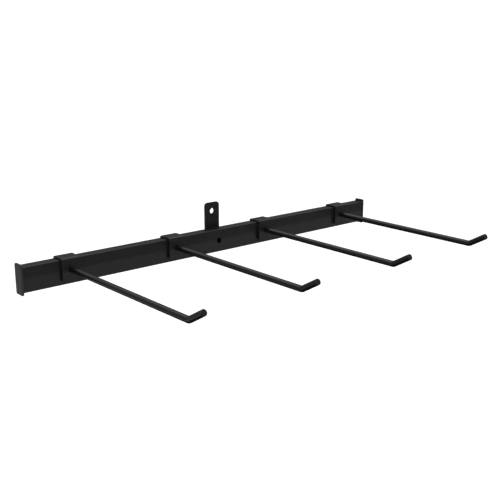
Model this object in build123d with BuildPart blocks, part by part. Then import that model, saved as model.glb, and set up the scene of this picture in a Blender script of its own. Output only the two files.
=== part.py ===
"""Wall cue rack: a steel rail with a wall strap, two end caps and four saddle hooks.

X runs along the rail, +Y points into the wall and +Z is up.
The origin is on the wall plane, at the middle of the rail's length and height.
"""

import os

from build123d import *

# Rail: a rectangular steel tube, lying on its narrow side.
rail_length = 605.0
rail_height = 32.5
rail_depth = 15.5
rail_wall = 1.5
rail_radius = 1.0

# Strap: a flat bar welded to the back of the tube, which carries both wall screws.
strap_width = 25.0
strap_thickness = 3.0
strap_rise = 37.0
strap_foot = 2.5
strap_corner = 4.5
strap_weld_leg = 2.2
weld_end_gap = 4.5
screw_hole = 8.0

# End caps: moulded plugs with a flange that stands proud of the tube. Crush ribs fill
# the clearance round each plug.
flange_thickness = 2.5
flange_proud = 3.4
flange_front = 1.0
flange_back = 0.5
flange_corner = 2.2
rim_radius = 0.8
plug_length = 14.0
plug_wall = 1.6
rib_height = 0.5
rib_width = 1.2
rib_length = 11.0

# Saddles: strips bent into an upside-down U that hangs over the tube.
hook_spacing = 162.1
hook_count = 4
hook_shift = 4.0
saddle_width = 25.4
sheet = 2.2
slide_gap = 0.3
front_gap = 2.4
plate_drop = 5.0
back_leg = 14.0
bend_radius = 0.5
plate_corner = 0.8

# Prongs: round bar with an upturned tip.
bar_diameter = 8.0
prong_height = 19.5
prong_reach = 250.3
tip_length = 30.0
tip_angle = 30.0
tip_bend_radius = 6.0
stub_gap = 0.3
end_chamfer = 0.8
root_weld_leg = 1.8

# Places worked out from the sizes above.
rail_back = -strap_thickness
rail_front = rail_back - rail_depth
rail_top = rail_height / 2
rail_bottom = -rail_height / 2
strap_top = rail_top + strap_rise
strap_length = strap_top - rail_bottom - strap_foot
weld_run = rail_height - 2 * weld_end_gap
hang_hole_height = strap_top - strap_width / 2
prong_z = rail_bottom + prong_height
plate_inner = rail_front - front_gap
plate_outer = plate_inner - sheet
leg_inner = rail_back + slide_gap
leg_outer = leg_inner + sheet
saddle_under = rail_top + slide_gap
saddle_top = saddle_under + sheet
bar_radius = bar_diameter / 2
first_hook = hook_shift - (hook_count - 1) * hook_spacing / 2
hook_places = [first_hook + hook_spacing * number for number in range(hook_count)]
rail_centre = (rail_front + rail_back) / 2
inner_depth = rail_depth - 2 * rail_wall
inner_height = rail_height - 2 * rail_wall
plug_depth = inner_depth - 2 * rib_height
plug_height = inner_height - 2 * rib_height
flange_depth = rail_depth + flange_front + flange_back
flange_height = rail_height + 2 * flange_proud
stub_end = rail_front - stub_gap
bend_y = rail_front - prong_reach

os.makedirs("parts", exist_ok=True)


def save(solid, name):
    """Labels a finished piece and writes it under its own name."""
    solid.label = name
    export_step(solid, f"parts/{name}.step")


# The tube, cut to length, with the lower screw hole through both of its walls.
with BuildPart() as rail_tube:
    with BuildSketch(Plane.YZ.offset(-rail_length / 2)):
        with Locations((rail_centre, 0)):
            RectangleRounded(rail_depth, rail_height, rail_radius)
            RectangleRounded(
                rail_depth - 2 * rail_wall,
                rail_height - 2 * rail_wall,
                rail_radius / 2,
                mode=Mode.SUBTRACT,
            )
    extrude(amount=rail_length)
    with BuildSketch(Plane.XZ.offset(-rail_back)):
        Circle(screw_hole / 2)
    extrude(amount=rail_depth, mode=Mode.SUBTRACT)
save(rail_tube.part, "rail_tube")

# The strap: its top is rounded at the corners, and its two holes share one centre line.
with BuildPart() as wall_strap:
    with BuildSketch(Plane.XZ):
        with Locations((0, strap_top - strap_length / 2)):
            Rectangle(strap_width, strap_length)
        top_corners = vertices().group_by(Axis.Y)[-1]
        fillet(top_corners, strap_corner)
        with Locations((0, hang_hole_height), (0, 0)):
            Circle(screw_hole / 2, mode=Mode.SUBTRACT)
    extrude(amount=strap_thickness)
save(wall_strap.part, "wall_strap")

# Fillet welds along the two upright edges of the strap, on the back of the tube.
with BuildPart() as strap_welds:
    for side in (-1, 1):
        edge = side * strap_width / 2
        with BuildSketch(Plane.XY.offset(-weld_run / 2)):
            with BuildLine():
                Polyline(
                    (edge, rail_back),
                    (edge + side * strap_weld_leg, rail_back),
                    (edge, rail_back + strap_weld_leg),
                    close=True,
                )
            make_face()
        extrude(amount=weld_run)
save(strap_welds.part, "strap_welds")

# Both caps are the same moulding: a flange, a hollow plug and crush ribs that grip the tube.
for side, name in ((-1, "end_cap_left"), (1, "end_cap_right")):
    end_plane = Plane(
        origin=(side * rail_length / 2, rail_centre, 0), x_dir=(0, 1, 0), z_dir=(side, 0, 0)
    )
    with BuildPart() as end_cap:
        with BuildSketch(end_plane):
            with Locations(((flange_back - flange_front) / 2, 0)):
                RectangleRounded(flange_depth, flange_height, flange_corner)
        extrude(amount=flange_thickness)
        outer_rim = edges().group_by(Axis.X)[-1 if side > 0 else 0]
        fillet(outer_rim, rim_radius)
        with BuildSketch(end_plane):
            Rectangle(plug_depth, plug_height)
            Rectangle(plug_depth - 2 * plug_wall, plug_height - 2 * plug_wall, mode=Mode.SUBTRACT)
        extrude(amount=-plug_length)
        with BuildSketch(end_plane):
            with GridLocations(0, plug_height / 2, 1, 2):
                Rectangle(inner_depth, rib_width)
            with GridLocations(plug_depth / 2, 0, 2, 1):
                Rectangle(rib_width, inner_height)
            Rectangle(plug_depth - plug_wall, plug_height - plug_wall, mode=Mode.SUBTRACT)
        extrude(amount=-rib_length)
    save(end_cap.part, name)

# Each hook is a saddle, a prong pushed through it and a weld ring behind the plate.
for number, place in enumerate(hook_places, start=1):
    with BuildPart() as saddle:
        with BuildSketch(Plane.YZ.offset(place - saddle_width / 2)):
            with BuildLine():
                FilletPolyline(
                    (plate_inner, rail_bottom + plate_drop),
                    (plate_inner, saddle_under),
                    (leg_inner, saddle_under),
                    (leg_inner, rail_top - back_leg),
                    radius=bend_radius,
                )
                offset(amount=sheet, side=Side.LEFT)
            make_face()
        extrude(amount=saddle_width)
        lower_corners = edges().filter_by(Axis.Y).group_by(Axis.Z)[:2]
        fillet(lower_corners[0] + lower_corners[1], plate_corner)
        with BuildSketch(Plane.XZ.offset(-plate_inner)):
            with Locations((place, prong_z)):
                Circle(bar_radius)
        extrude(amount=sheet, mode=Mode.SUBTRACT)
    save(saddle.part, f"saddle_{number}")

    with BuildPart() as prong:
        with BuildLine() as bar_path:
            tip = Vector(place, bend_y, prong_z)
            tip += Vector(0, -tip_length, 0).rotate(Axis.X, -tip_angle)
            FilletPolyline(
                (place, stub_end, prong_z),
                (place, bend_y, prong_z),
                tip,
                radius=tip_bend_radius,
            )
        with BuildSketch(Plane(origin=(place, stub_end, prong_z), z_dir=(0, -1, 0))):
            Circle(bar_radius)
        sweep()
        ends = faces().filter_by(GeomType.PLANE)
        chamfer(ends.edges(), end_chamfer)
    save(prong.part, f"prong_{number}")

    with BuildPart() as root_weld:
        with BuildSketch(Plane(origin=(place, 0, prong_z), x_dir=(0, 1, 0), z_dir=(1, 0, 0))):
            with BuildLine():
                Polyline(
                    (plate_inner, bar_radius),
                    (plate_inner + root_weld_leg, bar_radius),
                    (plate_inner, bar_radius + root_weld_leg),
                    close=True,
                )
            make_face()
        revolve(axis=Axis((place, 0, prong_z), (0, 1, 0)))
    save(root_weld.part, f"root_weld_{number}")
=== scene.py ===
"""Looks of the wall cue rack: a black coated rail, its strap, two caps and four saddle hooks."""

import math

import bmesh
import bpy
from mathutils import Matrix, Vector


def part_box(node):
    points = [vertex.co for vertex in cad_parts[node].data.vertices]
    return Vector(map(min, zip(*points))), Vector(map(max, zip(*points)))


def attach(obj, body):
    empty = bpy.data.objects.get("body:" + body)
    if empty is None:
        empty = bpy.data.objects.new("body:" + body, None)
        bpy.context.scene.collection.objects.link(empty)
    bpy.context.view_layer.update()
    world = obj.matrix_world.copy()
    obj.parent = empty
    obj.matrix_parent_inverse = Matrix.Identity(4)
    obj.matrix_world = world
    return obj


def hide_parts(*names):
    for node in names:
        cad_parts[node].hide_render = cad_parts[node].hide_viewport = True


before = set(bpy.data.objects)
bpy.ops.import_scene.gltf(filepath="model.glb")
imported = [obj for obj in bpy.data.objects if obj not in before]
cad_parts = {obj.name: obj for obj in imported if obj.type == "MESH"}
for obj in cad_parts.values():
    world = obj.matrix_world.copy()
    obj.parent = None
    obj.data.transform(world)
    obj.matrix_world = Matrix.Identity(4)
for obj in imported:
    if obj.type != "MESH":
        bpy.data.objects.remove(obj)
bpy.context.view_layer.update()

# ---------------------------------------------------------------- The viewpoint
# The rack is seen from the front left, a little above the rail. The lens and the
# stand point hold the whole row of hooks in a square picture.
camera_data = bpy.data.cameras.new("view")
camera_data.sensor_width = 36.0
camera_data.lens = 60.44
camera_data.clip_start = 0.05
camera = bpy.data.objects.new("view", camera_data)
bpy.context.scene.collection.objects.link(camera)
camera.location = (-0.7245, -0.9324, 0.2970)
pitch_down = math.radians(14.95)
turn_right = math.radians(40.57)
camera.rotation_euler = (math.radians(90) - pitch_down, 0, -turn_right)
bpy.context.scene.camera = camera

# ---------------------------------------------------------------- The studio
# A pale floor and a pale curved wall stand round the rack. Soft light comes from a
# wide ceiling, and two grey boards on the floor show only in the rack's gloss.
bpy.context.scene.view_settings.view_transform = "Standard"
floor_level = -0.35
floor_half = 20.0
floor_paleness = 0.95
floor_glow = 0.4
board_paleness = 0.50
board_lift = 0.001
wall_radius = 19.0
wall_height = 13.0
wall_glow = 1.05


def fresh_material(name):
    """A new node material with its shader, and the coordinates that its patterns read."""
    material = bpy.data.materials.new(name)
    material.use_nodes = True
    nodes = material.node_tree.nodes
    shader = nodes["Principled BSDF"]
    place = nodes.new("ShaderNodeTexCoord")
    return material, nodes, material.node_tree.links, shader, place.outputs["Object"]


def matt_paint(name, level, glow=0.0):
    """Matt paint with a barely visible mottle, and a glow of its own where it is lit."""
    material, nodes, links, shader, place = fresh_material(name)
    mottle = nodes.new("ShaderNodeTexNoise")
    mottle.inputs["Scale"].default_value = 3.0
    links.new(place, mottle.inputs["Vector"])
    tint = nodes.new("ShaderNodeValToRGB")
    tint.color_ramp.elements[0].color = (0.98 * level, 0.98 * level, 0.98 * level, 1)
    tint.color_ramp.elements[1].color = (level, level, level, 1)
    links.new(mottle.outputs["Fac"], tint.inputs["Fac"])
    links.new(tint.outputs["Color"], shader.inputs["Base Color"])
    shader.inputs["Roughness"].default_value = 1.0
    shader.inputs["Specular IOR Level"].default_value = 0.0
    shader.inputs["Emission Color"].default_value = (1, 1, 1, 1)
    shader.inputs["Emission Strength"].default_value = glow
    return material


def stage_board(name, low, high, level, material):
    """A flat rectangle on the stage, between two opposite corners."""
    mesh = bmesh.new()
    bmesh.ops.create_grid(mesh, x_segments=1, y_segments=1, size=0.5)
    size = (high[0] - low[0], high[1] - low[1], 1)
    middle = ((low[0] + high[0]) / 2, (low[1] + high[1]) / 2, level)
    bmesh.ops.scale(mesh, verts=mesh.verts, vec=size)
    bmesh.ops.translate(mesh, verts=mesh.verts, vec=middle)
    data = bpy.data.meshes.new(name)
    mesh.to_mesh(data)
    mesh.free()
    data.materials.append(material)
    board = bpy.data.objects.new(name, data)
    bpy.context.scene.collection.objects.link(board)
    return board


floor = stage_board(
    "floor",
    (-floor_half, -floor_half),
    (floor_half, floor_half),
    floor_level,
    matt_paint("pale_floor", floor_paleness, glow=floor_glow),
)
floor.visible_glossy = False

board_level = floor_level + board_lift
board_paint = matt_paint("grey_board", board_paleness)
wall_paint = bpy.data.materials.new("lit_wall")
wall_paint.use_nodes = True
wall_shader = wall_paint.node_tree.nodes["Principled BSDF"]
wall_shader.inputs["Base Color"].default_value = (0, 0, 0, 1)
wall_shader.inputs["Specular IOR Level"].default_value = 0.0
wall_shader.inputs["Emission Color"].default_value = (1, 1, 1, 1)
wall_shader.inputs["Emission Strength"].default_value = wall_glow
wall_mesh = bmesh.new()
bmesh.ops.create_cone(
    wall_mesh,
    cap_ends=False,
    segments=96,
    radius1=wall_radius,
    radius2=wall_radius,
    depth=wall_height,
)
wall_middle = (0, 0, floor_level + wall_height / 2)
bmesh.ops.translate(wall_mesh, verts=wall_mesh.verts, vec=wall_middle)
wall_data = bpy.data.meshes.new("curved_wall")
wall_mesh.to_mesh(wall_data)
wall_mesh.free()
wall_data.materials.append(wall_paint)
curved_wall = bpy.data.objects.new("curved_wall", wall_data)
bpy.context.scene.collection.objects.link(curved_wall)
curved_wall.visible_glossy = False
curved_wall.visible_diffuse = False

front_board = stage_board("front_board", (-1.6, -1.105), (3.5, -0.30), board_level, board_paint)
left_board = stage_board("left_board", (-1.16, -0.30), (-0.45, 2.5), board_level, board_paint)
for board in (front_board, left_board):
    board.visible_camera = False
    board.visible_diffuse = False

# Brightness of the surround by the sine of the height angle: all round, and then
# on the dim side, behind the rack and to its right.
all_round = [
    (-1.00, 0.015),
    (-0.35, 0.030),
    (0.00, 0.20),
    (0.50, 0.30),
    (0.80, 1.25),
    (1.00, 1.25),
]
dim_side = [
    (-1.00, 0.005),
    (-0.05, 0.015),
    (0.18, 0.11),
    (0.30, 0.13),
    (0.55, 0.20),
    (0.80, 1.25),
    (1.00, 1.25),
]
dim_side_faces = (0.65, 0.76, 0)
dim_side_starts = 0.75
dim_side_full = 0.92

world = bpy.data.worlds.new("studio")
world.use_nodes = True
sky = world.node_tree.nodes
wires = world.node_tree.links
facing = sky.new("ShaderNodeTexCoord").outputs["Generated"]
split = sky.new("ShaderNodeSeparateXYZ")
wires.new(facing, split.inputs["Vector"])
height = sky.new("ShaderNodeMapRange")
height.inputs["From Min"].default_value = -1.0
height.inputs["From Max"].default_value = 1.0
wires.new(split.outputs["Z"], height.inputs["Value"])
brightest = max(level for _, level in all_round + dim_side)


def height_ramp(levels):
    """A ramp of the surround's brightness over the height angle."""
    ramp = sky.new("ShaderNodeValToRGB")
    while len(ramp.color_ramp.elements) < len(levels):
        ramp.color_ramp.elements.new(0.5)
    for element, (sine, level) in zip(ramp.color_ramp.elements, levels):
        element.position = (sine + 1) / 2
        share = level / brightest
        element.color = (share, share, share, 1)
    wires.new(height.outputs["Result"], ramp.inputs["Fac"])
    return ramp.outputs["Color"]


towards = sky.new("ShaderNodeVectorMath")
towards.operation = "DOT_PRODUCT"
wires.new(facing, towards.inputs[0])
towards.inputs[1].default_value = dim_side_faces
share_dim = sky.new("ShaderNodeMapRange")
share_dim.inputs["From Min"].default_value = dim_side_starts
share_dim.inputs["From Max"].default_value = dim_side_full
wires.new(towards.outputs["Value"], share_dim.inputs["Value"])
blend = sky.new("ShaderNodeMix")
blend.data_type = "RGBA"
wires.new(share_dim.outputs["Result"], blend.inputs["Factor"])
wires.new(height_ramp(all_round), blend.inputs[6])
wires.new(height_ramp(dim_side), blend.inputs[7])
wires.new(blend.outputs[2], sky["Background"].inputs["Color"])
sky["Background"].inputs["Strength"].default_value = brightest
bpy.context.scene.world = world

# ---------------------------------------------------------------- Rail
# A rectangular steel tube, cut to length and powder coated satin black. The coat
# has a fine orange peel and softens every cut edge.
coat_black = (0.0118, 0.0118, 0.0120)
coat_roughness = 0.42
coat_roughness_varies = 0.035
coat_edge = 0.00035
merge_gap = 1e-6
flat_turn = 0.5


def shade_of(colour, share):
    """A colour made darker or paler, with its alpha."""
    return tuple(share * part for part in colour) + (1,)


def powder_coat(name, roughness, rub=0.0, depth_of_black=1.0, lacquer=0.42):
    """Black powder coat: fine orange peel, with slight changes of gloss and depth.

    Rub dulls the coat where parts slide, and lacquer is how clear its top is.
    """
    material, nodes, links, shader, place = fresh_material(name)

    peel = nodes.new("ShaderNodeTexNoise")
    peel.inputs["Scale"].default_value = 900.0
    peel.inputs["Detail"].default_value = 4.0
    links.new(place, peel.inputs["Vector"])
    grain = nodes.new("ShaderNodeBump")
    grain.inputs["Strength"].default_value = 0.18
    grain.inputs["Distance"].default_value = 0.00012
    links.new(peel.outputs["Fac"], grain.inputs["Height"])
    links.new(grain.outputs["Normal"], shader.inputs["Normal"])

    patches = nodes.new("ShaderNodeTexNoise")
    patches.inputs["Scale"].default_value = 24.0
    patches.inputs["Detail"].default_value = 6.0
    links.new(place, patches.inputs["Vector"])
    gloss = nodes.new("ShaderNodeMapRange")
    gloss.inputs["From Min"].default_value = 0.3
    gloss.inputs["From Max"].default_value = 0.7
    gloss.inputs["To Min"].default_value = roughness - coat_roughness_varies
    gloss.inputs["To Max"].default_value = roughness + coat_roughness_varies + rub
    links.new(patches.outputs["Fac"], gloss.inputs["Value"])
    links.new(gloss.outputs["Result"], shader.inputs["Roughness"])

    depth = nodes.new("ShaderNodeValToRGB")
    depth.color_ramp.elements[0].color = shade_of(coat_black, 0.85 * depth_of_black)
    depth.color_ramp.elements[1].color = shade_of(coat_black, 1.20 * depth_of_black)
    links.new(patches.outputs["Fac"], depth.inputs["Fac"])
    links.new(depth.outputs["Color"], shader.inputs["Base Color"])
    shader.inputs["Specular IOR Level"].default_value = 0.26
    shader.inputs["Coat Weight"].default_value = lacquer
    shader.inputs["Coat Roughness"].default_value = 0.02
    return material


def merged_copy(node):
    """A CAD node's mesh with its corners joined and its flat faces made whole."""
    mesh = bmesh.new()
    mesh.from_mesh(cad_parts[node].data)
    bmesh.ops.remove_doubles(mesh, verts=mesh.verts, dist=merge_gap)
    bmesh.ops.dissolve_limit(
        mesh,
        angle_limit=math.radians(flat_turn),
        verts=mesh.verts,
        edges=mesh.edges,
    )
    return mesh


def soften(mesh, edges, radius, steps=3):
    """Rounds edges by a small radius, as a coat does."""
    bmesh.ops.bevel(
        mesh,
        geom=edges,
        offset=radius,
        offset_type="OFFSET",
        segments=steps,
        profile=0.5,
        affect="EDGES",
        material=-1,
        clamp_overlap=True,
    )


def sharp_edges(mesh, degrees=50):
    """The edges whose two faces turn by more than this."""
    limit = math.radians(degrees)
    return [edge for edge in mesh.edges if edge.calc_face_angle(0) > limit]


def new_piece(name, mesh, material, body, node, smooth_below=40):
    """Turns a mesh into a piece, which rides on a body and stands for a CAD node."""
    limit = math.radians(smooth_below)
    for face in mesh.faces:
        face.smooth = True
    for edge in mesh.edges:
        edge.smooth = edge.calc_face_angle(0) < limit
    data = bpy.data.meshes.new(name)
    mesh.to_mesh(data)
    mesh.free()
    data.materials.append(material)
    piece = bpy.data.objects.new(name, data)
    bpy.context.scene.collection.objects.link(piece)
    even = piece.modifiers.new("even_faces", "WEIGHTED_NORMAL")
    even.keep_sharp = True
    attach(piece, body)
    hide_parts(node)


rail_coat = powder_coat("satin_black_on_rail", coat_roughness)
rail_mesh = merged_copy("rail_tube")
soften(rail_mesh, sharp_edges(rail_mesh), coat_edge)
new_piece("square_rail", rail_mesh, rail_coat, "rail", "rail_tube")

# ---------------------------------------------------------------- Wall strap
# A flat bar welded to the back of the tube, sheared to length with rounded top
# corners. It carries both wall screws and is coated together with the rail.
strap_mesh = merged_copy("wall_strap")
soften(strap_mesh, sharp_edges(strap_mesh), coat_edge)
new_piece("flat_strap", strap_mesh, rail_coat, "rail", "wall_strap")

# ---------------------------------------------------------------- Strap welds
# Two short fillet welds run up the strap's edges on the back of the tube. Each is
# a row of overlapping ripples left by the torch, under the same coat.
weld_leg = 0.0022
bead_steps = 94
ripple_pitch = 0.0013
ripple_depth = 0.00022
bead_taper = 0.0022
bead_end_share = 0.35
bead_hollow = 0.80
bead_toe_rise = 0.10
touching = 1e-6


def push(mesh, face, move):
    """Draws one face out by a straight move, and gives the face at the new end."""
    inside = all(len(edge.link_faces) > 1 for edge in face.edges)
    grown = bmesh.ops.extrude_face_region(mesh, geom=[face])["geom"]
    moved = [item for item in grown if isinstance(item, bmesh.types.BMVert)]
    bmesh.ops.translate(mesh, verts=moved, vec=move)
    if inside:
        bmesh.ops.delete(mesh, geom=[face], context="FACES_ONLY")
    return next(item for item in grown if isinstance(item, bmesh.types.BMFace))


def bead_face(leg):
    """Three points on a fillet weld's rounded face, by their reach along its two legs."""
    points = []
    for step in (1, 2, 3):
        lean = step * math.pi / 8
        reach = leg * (bead_hollow + bead_toe_rise * abs(2 - step))
        points.append((reach * math.cos(lean), reach * math.sin(lean)))
    return points


def bead_fullness(along, length, leg):
    """The share of its size that a bead has at a place: ripples, and tapered ends."""
    wave = abs(math.sin(math.pi * along / ripple_pitch))
    near_end = min(along, length - along) / bead_taper
    rise = math.sin(min(near_end, 1.0) * math.pi / 2)
    full = min(1.0, bead_end_share + (1 - bead_end_share) * rise)
    return full * (1 - (1 - wave) * ripple_depth / leg)


bead_low, bead_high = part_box("strap_welds")
strap_low, strap_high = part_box("wall_strap")
rail_back = bead_low[1]
bead_length = bead_high[2] - bead_low[2]
beads = bmesh.new()
for side, edge_x in ((-1, strap_low[0]), (1, strap_high[0])):
    root = Vector((edge_x, rail_back, bead_low[2]))
    outline = [(0, 0), (weld_leg, 0)] + bead_face(weld_leg) + [(0, weld_leg)]
    corners = [root + Vector((side * out, back, 0)) for out, back in outline]
    section = beads.faces.new([beads.verts.new(corner) for corner in corners])
    for step in range(bead_steps):
        section = push(beads, section, (0, 0, bead_length / bead_steps))
    for vert in beads.verts:
        if (vert.co.x - edge_x) * side > -touching:
            share = bead_fullness(vert.co.z - bead_low[2], bead_length, weld_leg)
            vert.co.x = edge_x + (vert.co.x - edge_x) * share
            vert.co.y = rail_back + (vert.co.y - rail_back) * share
bmesh.ops.recalc_face_normals(beads, faces=beads.faces)
new_piece("strap_beads", beads, rail_coat, "rail", "strap_welds", smooth_below=60)

# ---------------------------------------------------------------- End caps
# Moulded black plastic plugs pressed into the tube's ends. Only their flanges
# show, with a fine spark-eroded texture and no coat.
mould_edge = 0.0002


def moulded_plastic(name):
    """Black plastic with the fine, even grain of an eroded mould."""
    material, nodes, links, shader, place = fresh_material(name)
    grain = nodes.new("ShaderNodeTexNoise")
    grain.inputs["Scale"].default_value = 1500.0
    grain.inputs["Detail"].default_value = 3.0
    links.new(place, grain.inputs["Vector"])
    relief = nodes.new("ShaderNodeBump")
    relief.inputs["Strength"].default_value = 0.25
    relief.inputs["Distance"].default_value = 0.0001
    links.new(grain.outputs["Fac"], relief.inputs["Height"])
    links.new(relief.outputs["Normal"], shader.inputs["Normal"])
    shade = nodes.new("ShaderNodeValToRGB")
    shade.color_ramp.elements[0].color = (0.021, 0.021, 0.0214, 1)
    shade.color_ramp.elements[1].color = (0.029, 0.029, 0.0295, 1)
    links.new(grain.outputs["Fac"], shade.inputs["Fac"])
    links.new(shade.outputs["Color"], shader.inputs["Base Color"])
    shader.inputs["Roughness"].default_value = 0.42
    return material


cap_plastic = moulded_plastic("black_moulding")
for side in ("left", "right"):
    cap_mesh = merged_copy(f"end_cap_{side}")
    soften(cap_mesh, sharp_edges(cap_mesh, 70), mould_edge, steps=2)
    name = f"moulded_cap_{side}"
    new_piece(name, cap_mesh, cap_plastic, "rail", f"end_cap_{side}")

# ---------------------------------------------------------------- Saddles
# Strips bent over the rail, each with a punched hole for its prong. They are
# coated after welding, slide along the tube by hand and are dulled a little by it.
saddle_coat = powder_coat("satin_black_on_saddles", coat_roughness, rub=0.03)
hooks = range(1, 5)
sheet = 0.0022
bend_radius = 0.0005
bend_steps = 10
back_leg = 0.014
plate_corner = 0.0008
bar_sides = 64
strip_turns_about = (-1, 0, 0)


def lay_circle(mesh, middle, radius, filled):
    """A circle that faces along the bar, round a given middle."""
    placed = Matrix.Translation(middle) @ Matrix.Rotation(math.radians(90), 4, "X")
    bmesh.ops.create_circle(
        mesh,
        cap_ends=filled,
        segments=bar_sides,
        radius=radius,
        matrix=placed,
    )


def turn(mesh, face, centre, degrees):
    """Draws one face round a bend, and gives the face at the new end."""
    inside = all(len(edge.link_faces) > 1 for edge in face.edges)
    grown = bmesh.ops.spin(
        mesh,
        geom=[face],
        cent=centre,
        axis=strip_turns_about,
        angle=math.radians(degrees),
        steps=bend_steps,
        use_merge=False,
    )["geom_last"]
    if inside:
        bmesh.ops.delete(mesh, geom=[face], context="FACES_ONLY")
    return next(item for item in grown if isinstance(item, bmesh.types.BMFace))


def bar_of(number):
    """Where a prong's bar starts on its centre line, and its radius."""
    low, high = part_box(f"prong_{number}")
    radius = (high[0] - low[0]) / 2
    return Vector((low[0] + radius, high[1], low[2] + radius)), radius


for number in hooks:
    low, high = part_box(f"saddle_{number}")
    stub, bar_radius = bar_of(number)
    middle = Vector((stub.x, low[1], stub.z))
    bend_z = high[2] - sheet - bend_radius
    leg_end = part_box("rail_tube")[1][2] - back_leg

    saddle = bmesh.new()
    outline = [(low[0], low[2]), (high[0], low[2]), (high[0], bend_z), (low[0], bend_z)]
    corners = [saddle.verts.new((x, low[1], z)) for x, z in outline]
    for corner, following in zip(corners, corners[1:] + corners[:1]):
        saddle.edges.new((corner, following))
    lay_circle(saddle, middle, bar_radius, filled=False)
    bmesh.ops.triangle_fill(saddle, use_beauty=True, edges=saddle.edges[:], normal=(0, -1, 0))
    plate = bmesh.ops.extrude_face_region(saddle, geom=saddle.faces[:])["geom"]
    inside = [item for item in plate if isinstance(item, bmesh.types.BMVert)]
    bmesh.ops.translate(saddle, verts=inside, vec=(0, sheet, 0))

    front_bend = (0, low[1] + sheet + bend_radius, bend_z)
    back_bend = (0, high[1] - sheet - bend_radius, bend_z)
    for face in saddle.faces:
        if min(vert.co.z for vert in face.verts) > bend_z - touching:
            end = face
    end = turn(saddle, end, front_bend, 90)
    end = push(saddle, end, (0, back_bend[1] - front_bend[1], 0))
    end = turn(saddle, end, back_bend, 90)
    push(saddle, end, (0, 0, leg_end - bend_z))
    bmesh.ops.remove_doubles(saddle, verts=saddle.verts, dist=touching)
    bmesh.ops.recalc_face_normals(saddle, faces=saddle.faces)

    foot_corners = []
    for edge in saddle.edges:
        first, second = (vert.co for vert in edge.verts)
        through = abs(abs(second.y - first.y) - sheet) < touching
        at_foot = min(abs(first.z - low[2]), abs(first.z - leg_end)) < touching
        at_side = min(abs(first.x - low[0]), abs(first.x - high[0])) < touching
        if through and at_foot and at_side:
            foot_corners.append(edge)
    soften(saddle, foot_corners, plate_corner, steps=5)
    outer_edges = []
    for edge in sharp_edges(saddle):
        from_middle = max((vert.co.xz - middle.xz).length for vert in edge.verts)
        if from_middle > bar_radius + touching:
            outer_edges.append(edge)
    soften(saddle, outer_edges, coat_edge)
    name = f"bent_saddle_{number}"
    hook = f"hook_{number}"
    new_piece(name, saddle, saddle_coat, hook, f"saddle_{number}")

# ---------------------------------------------------------------- Prongs
# Round bar with a short tip bent up, pushed through the saddle's plate and welded
# behind it. Its ends are rounded over, and the coat is a shade glossier on it.
prong_coat = powder_coat(
    "satin_black_on_prongs",
    roughness=0.34,
    depth_of_black=0.3,
    lacquer=0.60,
)
tip_length = 0.030
tip_angle = 30
tip_bend_radius = 0.006
end_round = 0.0008
tip_turn = math.radians(tip_angle)
tip_runs = Vector((0, -math.cos(tip_turn), math.sin(tip_turn)))
taken_by_bend = tip_bend_radius * math.tan(tip_turn / 2)
rounding_swell = end_round * (1 / math.cos(tip_turn) - 1)

for number in hooks:
    stub, bar_radius = bar_of(number)
    tip_reach = tip_length * math.cos(tip_turn) + (bar_radius - end_round) * math.sin(tip_turn)
    bend_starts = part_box(f"prong_{number}")[0][1] + tip_reach + taken_by_bend

    prong = bmesh.new()
    lay_circle(prong, stub, bar_radius, filled=True)
    end = push(prong, prong.faces[:][0], (0, bend_starts - stub.y, 0))
    end = turn(prong, end, (0, bend_starts, stub.z + tip_bend_radius), tip_angle)
    push(prong, end, tip_runs * (tip_length - taken_by_bend - rounding_swell))
    bmesh.ops.remove_doubles(prong, verts=prong.verts, dist=touching)
    bmesh.ops.recalc_face_normals(prong, faces=prong.faces)
    soften(prong, sharp_edges(prong, 60), end_round, steps=5)
    name = f"round_prong_{number}"
    hook = f"hook_{number}"
    new_piece(name, prong, prong_coat, hook, f"prong_{number}")

# ---------------------------------------------------------------- Root welds
# A ring of weld behind each plate, laid in one pass with fine ripples, under the
# saddle's coat.
ring_steps = 144
ring_ripples = 30
ring_depth = 0.00018

for number in hooks:
    low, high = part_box(f"root_weld_{number}")
    stub, bar_radius = bar_of(number)
    middle = Vector((stub.x, low[1], stub.z))
    leg = high[1] - low[1]
    ring = bmesh.new()
    section = []
    for out, back in [(0, 0), (leg, 0)] + bead_face(leg) + [(0, leg)]:
        section.append(ring.verts.new(middle + Vector((bar_radius + out, back, 0))))
    for corner, following in zip(section, section[1:] + section[:1]):
        ring.edges.new((corner, following))
    bmesh.ops.spin(
        ring,
        geom=ring.verts[:] + ring.edges[:],
        cent=middle,
        axis=(0, 1, 0),
        angle=math.radians(360),
        steps=ring_steps,
        use_merge=True,
    )
    bmesh.ops.remove_doubles(ring, verts=ring.verts, dist=touching)
    for vert in ring.verts:
        from_axis = Vector((vert.co.x - middle.x, 0, vert.co.z - middle.z))
        beyond_bar = from_axis.length - bar_radius
        if beyond_bar > touching:
            round_bar = math.atan2(from_axis.z, from_axis.x)
            wave = abs(math.sin(round_bar * ring_ripples / 2))
            share = 1 - (1 - wave) * ring_depth / leg
            moved = from_axis.normalized() * (bar_radius + beyond_bar * share)
            back = (vert.co.y - middle.y) * share
            vert.co = middle + Vector((moved.x, back, moved.z))
    bmesh.ops.recalc_face_normals(ring, faces=ring.faces)
    name = f"weld_ring_{number}"
    hook = f"hook_{number}"
    node = f"root_weld_{number}"
    new_piece(name, ring, saddle_coat, hook, node, smooth_below=60)
